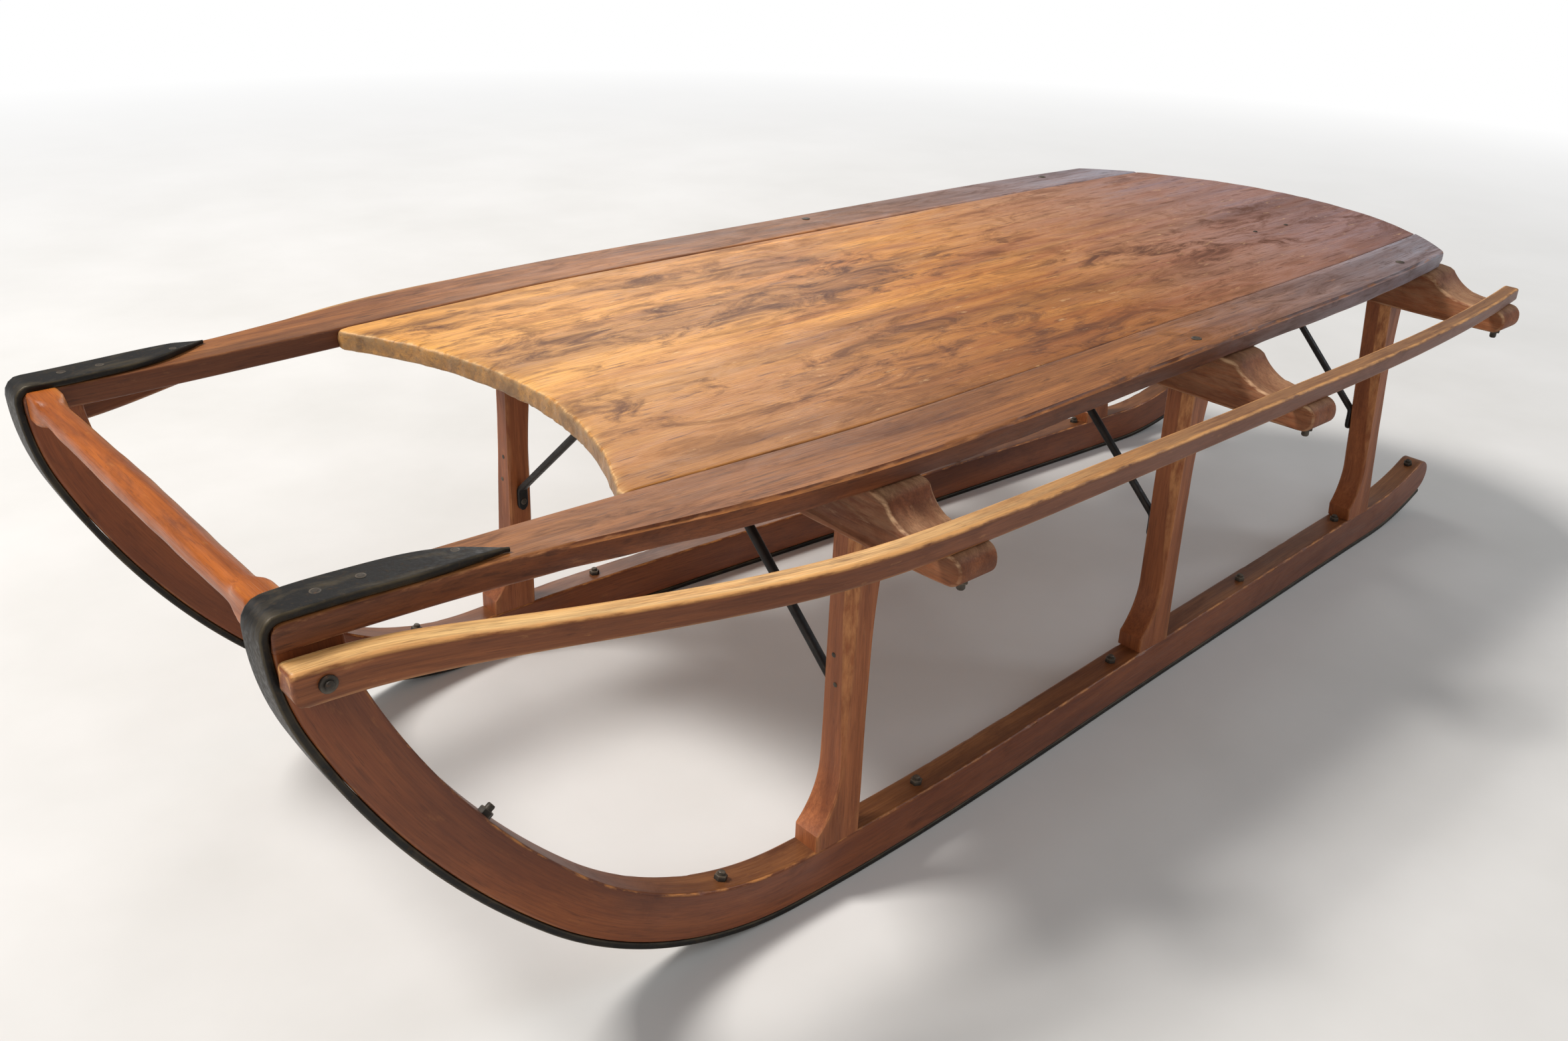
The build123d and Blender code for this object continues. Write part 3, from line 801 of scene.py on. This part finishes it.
# %% Bench finish
bench_finish = old_wood(
    "bench_wood_bare", paint(70, 38, 22), paint(122, 68, 38), paint(150, 88, 50), paint(206, 168, 130),
    streak=(5.0, 60.0, 60.0), blotch=(14.0, 30.0, 30.0), blotch_amount=0.5,
    # paler tops: partly wear, partly a painted highlight from above
    top_light_and_wear=(paint(152, 110, 80), paint(190, 152, 116)), top_light_and_wear_amount=0.75,
    rub_range=(0.36, 0.6), gloss=(0.5, 0.7), coat=0.0, relief=0.35,
)
bench_bottom_z = bench_top_z - 52 * mm
tip_top_z = bench_bottom_z + 26 * mm
bench_columns = ("name", "station", "foot_back", "brace_back", "brace_head")
bench_rows = (
    ("front", 475 * mm, -5 * mm, -2 * mm, 80 * mm),
    ("middle", 962 * mm, 6 * mm, 3 * mm, 62 * mm),
    ("rear", 1415 * mm, 47 * mm, 17 * mm, 46 * mm),
)
cross_frames = [dict(zip(bench_columns, row)) for row in bench_rows]


def bench_outline(reach, lip):
    """Right half: along the bottom, round the tip, in along its top, up the hollow circle
    of radius (dx^2 + dz^2) / (2 dz), and in along the top; then the same mirrored."""
    tip_flat, tip_round = 42 * mm, 12 * mm
    round_y, sweep_y = reach - tip_round, reach - tip_flat
    dx, dz = sweep_y - lip, bench_top_z - tip_top_z
    hollow_r = (dx**2 + dz**2) / (2 * dz)
    low = np.radians(np.linspace(-80, 0, 7))
    high = np.radians(np.linspace(0, 90, 8))[1:]
    climb = np.linspace(0, math.asin(min(dx / hollow_r, 1.0)), 14)
    runs = (
        (np.linspace(0, round_y, 30), np.full(30, bench_bottom_z)),
        (round_y + tip_round * np.cos(low), bench_bottom_z + tip_round * (1 + np.sin(low))),
        (round_y + tip_round * np.cos(high), tip_top_z - tip_round * (1 - np.sin(high))),
        (np.linspace(round_y, sweep_y, 8)[1:-1], np.full(6, tip_top_z)),
        (sweep_y - hollow_r * np.sin(climb), tip_top_z + hollow_r * (1 - np.cos(climb))),
        (np.linspace(lip, 0, 22)[1:], np.full(21, bench_top_z)),
    )
    half = np.concatenate(runs, axis=1)
    other = half[:, 1:-1][:, ::-1] * np.array([[-1.0], [1.0]])
    loop = np.concatenate([half, other], axis=1)
    return 0.25 * np.roll(loop, 1, axis=1) + 0.5 * loop + 0.25 * np.roll(loop, -1, axis=1)


def bench_rings(row, seed):
    """Rings through the bench's thickness; the first and last are drawn in by r (1 - cos phi)
    along the outline's inward normal, which rounds the arrises."""
    at = nose_x - row["station"]
    lip = plan_line("rail", at) + 6 * mm
    reach = fender_line(at) + 28.5 * mm
    y, z = loop = bench_outline(reach, lip)
    ahead = np.roll(loop, -1, axis=1) - np.roll(loop, 1, axis=1)
    ahead = ahead / np.linalg.norm(ahead, axis=0)
    rounding, half = 3.0 * mm, 25 * mm
    phi = np.radians(np.linspace(0.0, 85.0, 5))
    step, less = rounding * (1 - np.sin(phi)), rounding * (1 - np.cos(phi))
    flat = np.linspace(-half + rounding, half - rounding, 9)[1:-1]
    across = np.concatenate([-half + step[::-1], flat, half - step])[:, None]
    shrink = np.concatenate([less[::-1], 0 * flat, less])[:, None]
    shrink = shrink * (1 + 0.35 * wave(y, across, 0.02, 0.05, seed))
    bevel = np.sin(2 * phi)
    arris = np.concatenate([bevel[::-1], 0 * flat, bevel])[:, None]
    arris = arris * (0.45 + 0.55 * (z > bench_bottom_z + 20 * mm))
    y_ring, z_ring = y - shrink * ahead[1], z + shrink * ahead[0]
    swept = (np.abs(y) > lip - 4 * mm) * (z > tip_top_z + 2 * mm)
    z_ring = z_ring - swept * 0.5 * mm * (1 + wave(y, across, 0.02, 0.012, seed + 1))
    worn = ramp(z, bench_bottom_z + 30 * mm, 22 * mm) * ramp(np.abs(y), lip - 30 * mm, 20 * mm)
    bevel_run = 7 * mm * worn * ramp(across, 6 * mm, 19 * mm) ** 2
    z_ring = z_ring - bevel_run * (0.8 + 0.2 * wave(y, across, 0.015, 0.01, seed + 2))
    across = across * (1 - 0.16 * ramp(np.abs(y), lip, reach - lip) ** 2)
    grain = points(y_ring, across + seed * 0.2, z_ring)
    return points(at + across, y_ring, z_ring), grain, arris


for index, row in enumerate(cross_frames):
    skin(f"bench_cross_{row['name']}", *bench_rings(row, 60 + 3 * index), bench_finish,
         "bench_wood", (f"bench_{row['name']}",))

# %% [markdown]
# ## Posts
# A post stands on the runner with a toe that flares forward, and its head flares back under
# the bench. The arrises are chamfered with a knife: the chamfers start above the foot and
# are widest on the outer front arris, near the top. A leaning post is sheared, not turned.

# %% Post finish
post_finish = old_wood(
    "post_varnish", paint(84, 40, 20), paint(140, 78, 42), paint(168, 100, 58), paint(200, 140, 88),
    streak=(4.0, 70.0, 70.0), blotch=(8.0, 40.0, 40.0), blotch_amount=0.45,
    rub_range=(0.38, 0.62), gloss=(0.42, 0.58), coat=0.08, relief=0.25,
)
runner_top_z = sole_z + runner_depth


def post_face(row):
    """How far out a post's outer face stands: the runner's line, straight between stations."""
    at_station = row["station"] + row["foot_back"] / 2
    return float(np.interp(at_station, plan_table[:, 0], plan_table[:, 3]))


def post_rings(row, seed):
    """Rings up the post. The flares are circles through the foot's toe and the head's heel,
    of radius (f^2 + h^2) / (2 f) for a flare f over a height h."""
    foot_x = nose_x - row["station"] - row["foot_back"]
    tall = bench_bottom_z - runner_top_z
    toe, toe_tall, ankle_tall = 24 * mm, 16 * mm, 58 * mm
    heel, heel_tall, half = 12 * mm, 120 * mm, 13.2 * mm
    broad, front_cut, side_cut = runner_thickness, 9 * mm, 4 * mm
    h = np.concatenate([np.linspace(0, toe_tall, 4), np.linspace(toe_tall + 0.6 * mm, 74 * mm, 16),
                        np.linspace(78 * mm, tall, 34)])[:, None]
    toe_radius = (toe**2 + ankle_tall**2) / (2 * toe)
    heel_radius = (heel**2 + heel_tall**2) / (2 * heel)
    below = np.clip(toe_tall + ankle_tall - h, 0.0, ankle_tall)
    above = np.clip(h - (tall - heel_tall), 0.0, heel_tall)
    front = half + toe_radius - np.sqrt(toe_radius**2 - below**2)
    back = half + heel_radius - np.sqrt(heel_radius**2 - above**2)
    rise = ramp(h, 30 * mm, 60 * mm)
    chamfer = (1.0 + 1.2 * rise + 0.3 * wave(h, 0 * h, 0.03, 1.0, seed)) * mm
    out, high, arris = bar_section(front + back, broad, chamfer, 3, 5, 1)
    wide = ramp(h, 90 * mm, 130 * mm)
    edge_out, edge_high = (front + back) / 2, broad / 2
    on_front, on_side = out > edge_out - 1e-7, high > edge_high - 1e-7
    keep_high, keep_out = 1 - wide * front_cut / broad, 1 - wide * side_cut / (front + back)
    high = np.where(on_front, (high + edge_high) * keep_high - edge_high, high)
    out = np.where(on_side, (out + edge_out) * keep_out - edge_out, out)
    arris = arris * np.where((high > 0) & (out > 0), 0.25 + 0.6 * wide, 0.3)
    x = foot_x + row["foot_back"] * h / tall + (front - back) / 2 + out
    y = post_face(row) - broad / 2 + high
    z = runner_top_z + h
    return points(x, y, z), points(z, x - foot_x + 0.1 * seed, high), arris


for index, row in enumerate(cross_frames):
    shapes = [post_rings(row, 80 + 5 * index + k) for k in (0, 1)]
    both_sides(f"post_upright_{row['name']}", shapes, post_finish, "post_wood", f"post_{row['name']}")

# %% [markdown]
# ## Iron braces
# A bent iron bar ties each post to its bench. The smith flattened its foot into a wider pad
# for a screw, and its head lies flat under the bench. The bar is carried along a path of
# three straight runs and two bends, in the plane of its bench.

# %% Brace skins
def brace_rings(row):
    """Rings along the bent bar; round in the middle and flat at foot and head, because the
    rounding goes from half the thickness down to a third of it."""
    post_inner = post_face(row) - runner_thickness
    foot_z, straight, bend_radius = 170 * mm, 27 * mm, 9 * mm
    rise = bench_bottom_z - foot_z - straight
    run = post_inner - row["brace_head"]
    slant = math.pi / 2 + math.atan2(run, rise)
    first, second = slant - math.pi / 2, math.pi - slant
    cut_a, cut_b = bend_radius * math.tan(first / 2), bend_radius * math.tan(second / 2)
    bends = [
        (straight - cut_a, 0.0), (bend_radius * first, first),
        (math.hypot(run, rise) - cut_a - cut_b, 0.0), (bend_radius * second, second),
        (30 * mm - cut_b, 0.0),
    ]
    path = bent_path((post_inner, foot_z), math.pi / 2, bends, 2.5 * mm)
    s = path[0][:, None]
    to_end = s[-1, 0] - s
    flat = 1 - ramp(np.minimum((s - 20 * mm) / (14 * mm), (to_end - 26 * mm) / (12 * mm)), 0.0, 1.0)
    flat = ease(flat)
    end = ramp(np.minimum(s, to_end), 0.0, 7 * mm)
    wide = (9.5 + 2.5 * flat) * mm * np.sqrt(np.clip(1 - (1 - end) ** 2, 0.12, 1))
    thick = (7 - 2.4 * flat) * mm
    rounding = np.minimum(0.46 * wide, (0.47 - 0.18 * flat) * thick)
    out, high, arris = bar_section(wide, thick, rounding, 1, 1, 4)
    y, z, _ = beside_path(path, s, thick / 2 + high)
    x = nose_x - row["station"] - row["brace_back"] + out
    return points(x, y, z), points(s, out, high), arris * 0.6


for row in cross_frames:
    shapes = [brace_rings(row)] * 2
    both_sides(f"brace_bar_{row['name']}", shapes, brace_finish, "brace_iron", f"brace_{row['name']}")

# %% [markdown]
# ## Fender rails
# The slender outer rails spring from the nose and run along the bench tips. Their pale tops
# are partly worn by hands and partly a painted highlight. They are full at the nose, with a rounded
# lower corner, planed slimmer behind it, and simply rounded off at the rear.

# %% Fender finish
fender_finish = old_wood(
    "fender_varnish", paint(72, 34, 16), paint(112, 60, 30), paint(140, 80, 42), paint(216, 158, 96),
    streak=(4.0, 90.0, 90.0), blotch=(8.0, 50.0, 50.0), blotch_amount=0.45,
    # pale gold tops: partly wear, partly a painted highlight of the light from above
    top_light_and_wear=(paint(230, 168, 96), paint(250, 208, 142)), top_light_and_wear_amount=0.9,
    rub_range=(0.34, 0.58), gloss=(0.36, 0.52), coat=0.12, relief=0.25,
    zones=((0, 0.3, 0.75, paint(110, 64, 42), 0.85),),
)
fender_middle = 12 * mm
nose_tip_z = bench_bottom_z + 23 * mm


def fender_rings(seed):
    """Rings along the rail from the nose back. It is full at the nose and planed slimmer
    along the sides, top and bottom; a circle of radius r rounds the front's lower corner."""
    wide, nose_tall, span_tall, tail_tall = 22.5 * mm, 26.6 * mm, 21.5 * mm, 14.5 * mm
    out, high, arris = bar_section(wide, nose_tall, 4.0 * mm, 5, 5, 4)
    length = wood_front_x - (nose_x - 1457 * mm)
    s, out, high = with_ends(0.0, length, out, high, 3.5 * mm, 260)
    planed = ease(ramp(s, 30 * mm, 150 * mm))
    tall = nose_tall + (span_tall - nose_tall) * planed + (tail_tall - span_tall) * s / length
    high = high * tall / nose_tall
    corner = 11 * mm
    lift = corner - np.sqrt(np.maximum(corner**2 - np.clip(corner - s, 0, corner) ** 2, 0.0))
    high = np.maximum(high, -tall / 2 + lift)
    waves = 0.35 * mm * (1 + wave(s, 0 * s, 0.09, 1.0, seed))
    nicked = chips(s, seed + 2, 0.01, 0.2) * arris * (high > 0)
    high = high - ramp(high, 0.0, tall / 2) * (waves + 0.8 * mm * nicked)
    slim = (0.1 + 0.12 * s / length) * planed
    out = out * (1 - slim) * (1 - 0.02 * (1 + wave(s, high, 0.06, 0.02, seed + 1)))
    x = wood_front_x - s
    y = fender_line(x) + fender_middle - slim * wide / 2 + out
    z = nose_tip_z + (tip_top_z - nose_tip_z) * planed + tall / 2 + high
    top_arris = arris * np.where(high > 0, 1.0, 0.35)
    return points(x, y, z), points(s, out + 0.1 * seed, high), top_arris


both_sides("fender_rail_bar", map(fender_rings, (101, 113)), fender_finish, "fender_wood", "fender_rail")

# %% [markdown]
# ## Nose bar
# The bar between the two noses was worked round by hand from a square stick, and its ends
# stayed square. A superellipse does both: the radius at angle q is
# R / (|cos q|^n + |sin q|^n)^(1/n), with n = 2 for round and a large n for square.

# %% Nose bar skin
bar_finish = old_wood(
    "nose_bar_varnish", paint(96, 44, 10), paint(148, 74, 18), paint(182, 98, 28), paint(216, 146, 70),
    streak=(6.0, 80.0, 80.0), blotch=(14.0, 50.0, 50.0), blotch_amount=0.55,
    rub_range=(0.36, 0.62), gloss=(0.32, 0.5), coat=0.12, relief=0.4, shine=0.25,
)


def nose_bar_rings(seed):
    """Rings along y; n falls from 14 to 2 over the shoulder and the radius from the block's
    to the bar's, while a slow noise leaves the flats of the knife."""
    bar_x, bar_z, half_long, block = 812.2 * mm, 410 * mm, 216 * mm, 12 * mm
    y = np.linspace(-1, 1, 181)[:, None] * half_long
    inward = half_long - np.abs(y)
    shoulder = ease(ramp(inward, 14 * mm, 30 * mm))
    power = 12.0 * (1 - shoulder) ** 4 + 2.05
    q = np.linspace(0, 2 * math.pi, 49)[:-1] + math.radians(3)
    belly = (11.0 + 1.5 * ramp(inward, 0.0, 200 * mm)) * mm
    radius = block * (1 - shoulder) + belly * shoulder
    knife = 1 - 0.035 * shoulder * (1 + wave(y, q * block, 0.024, 0.009, seed))
    shape = (np.abs(np.cos(q)) ** power + np.abs(np.sin(q)) ** power) ** (-1 / power)
    r = radius * knife * shape * (0.92 + 0.08 * ramp(inward, 0.0, 1.5 * mm))
    ahead, high = r * np.cos(q), r * np.sin(q)
    worn = 0.8 * np.clip(np.cos(q - math.radians(200)), 0, 1) + 0 * y
    return points(bar_x + ahead, y, bar_z + high), points(y, ahead + 0.2, high), worn


skin("nose_bar_turned", *nose_bar_rings(131), bar_finish, "bar_wood", ("nose_bar",))

# %% [markdown]
# ## Bolts, screws and nails
# Nuts stand on the runners and hang under the bench tips, flat heads lie in the rails and the
# tongues, screws hold the feet of the braces, a bolt the front of each fender rail, and nails
# the front posts and the deck. Each is turned about its own axis, and the nuts have flats.

# %% Turned heads
def head_rings(place, axis, radius, height, flats=0, stem=0.0):
    """Seven rings from the seat up. A nut with n flats has the radius
    R cos(pi/n) / cos(q mod (2 pi/n) - pi/n) at angle q; its bolt end above is round."""
    axis = np.array(axis, float) / np.linalg.norm(axis)
    first = np.cross(axis, (0.0, 0.0, 1.0) if abs(axis[2]) < 0.9 else (1.0, 0.0, 0.0))
    first = first / np.linalg.norm(first)
    second = np.cross(axis, first)
    q = np.linspace(0, 2 * math.pi, 25)[:-1]
    sector = 2 * math.pi / max(flats, 1)
    flat = np.cos(sector / 2) / np.cos(np.mod(q, sector) - sector / 2) if flats else np.ones(24)
    if stem:
        size = (1.0, 1.0, 0.9, 0.55, 0.55, 0.44, 0.15)
        rise = height * np.array([0.0, 0.8, 1.0, 1.0, 1.0, 1.0, 1.0])
        rise = rise + stem * np.array([0, 0, 0, 0, 0.8, 1.0, 1.0])
    else:
        size = (1.0, 1.0, 0.88, 0.66, 0.5, 0.3, 0.1)
        rise = height * np.array([0.0, 0.4, 0.75, 0.93, 0.98, 1.0, 1.0])
    rise[0] = -0.5 * mm
    nut_rings = np.arange(7)[:, None] < 3
    r = radius * np.array(size)[:, None] * np.where(nut_rings, flat, 1.0)
    around = np.cos(q)[:, None] * first + np.sin(q)[:, None] * second
    return np.array(place) + r[..., None] * around + rise[:, None, None] * axis


def runner_top(station):
    """Place and upward direction on a runner's top face: the sole's point raised by the depth."""
    top_x = sole[1] - runner_depth * np.sin(sole[3])
    x, z, a = beside_path(sole, np.interp(nose_x - station, top_x, sole[0]), runner_depth)
    y = float(plan_line("runner", x)) - runner_thickness / 2
    return (float(x), y, float(z)), (-math.sin(a), 0.0, math.cos(a))

# %% Bolt skins
fastener_finish = old_iron("fastener_iron", paint(40, 36, 32), paint(124, 112, 96), paint(108, 72, 46))
runner_rows = ((138, 4.5), (341, 3), (573, 3), (892, 3), (1167, 3), (1412, 3), (1626, 3))
flat_rows = (
    (904, 276, 419.9, 5.0, 1.2), (1331, 260.5, 419.9, 5.0, 1.2), (42, 236, 425.9, 3.8, 0.33),
    (72, 235, 425.9, 3.6, 0.33), (134, 240, 425.9, 3.2, 0.33),
)
heads = {name: [] for name in ("runner_bolts", "tip_nuts", "brace_screws", "flat_heads")}
for station, stem in mm * np.array(runner_rows):
    heads["runner_bolts"].append(head_rings(*runner_top(station), 5.8 * mm, 4.5 * mm, 6, stem))
for row in cross_frames:
    x = nose_x - row["station"]
    tip = (x, fender_line(x) + fender_middle, bench_bottom_z)
    foot = (x - row["brace_back"], post_face(row) - runner_thickness - 4.6 * mm, 180 * mm)
    heads["tip_nuts"].append(head_rings(tip, (0, 0, -1), 6.5 * mm, 5 * mm, 4, 6 * mm))
    heads["brace_screws"].append(head_rings(foot, (0, -1, 0), 3.6 * mm, 1.4 * mm))
for station, y, z, radius, height in mm * np.array(flat_rows):
    heads["flat_heads"].append(head_rings((nose_x - station, y, z), (0, 0, 1), radius, height))
x = nose_x - 27 * mm
bolt_place = (x, fender_line(x) + 23.6 * mm, 386 * mm)
heads["fender_bolt"] = [head_rings(bolt_place, (0, 1, 0), 6.0 * mm, 1.6 * mm, 0, 2.5 * mm)]
nail_places = mm * np.array([(371.4, 258, 231), (371.9, 262, 204)])
heads["post_nails"] = [head_rings(place, (1, 0, 0), 2.3 * mm, 0.9 * mm) for place in nail_places]
rub = np.array([0, 0.2, 1, 0.5, 0.2, 0.6, 0.4])[:, None]
for name, group in heads.items():
    rings = np.array(group)
    shape = (rings, rings, np.broadcast_to(rub, rings.shape[:3]))
    both_sides(name, [shape] * 2, fastener_finish, "brace_iron")

nail_places = mm * np.array([(-485.5, 82.6, 419.4), (-547.5, 87.0, 419.4)])
nails = np.array([head_rings(place, (0, 0, 1), 2.6 * mm, 0.8 * mm) for place in nail_places])
skin("deck_nails", nails, nails, np.zeros(nails.shape[:3]), fastener_finish, "brace_iron")
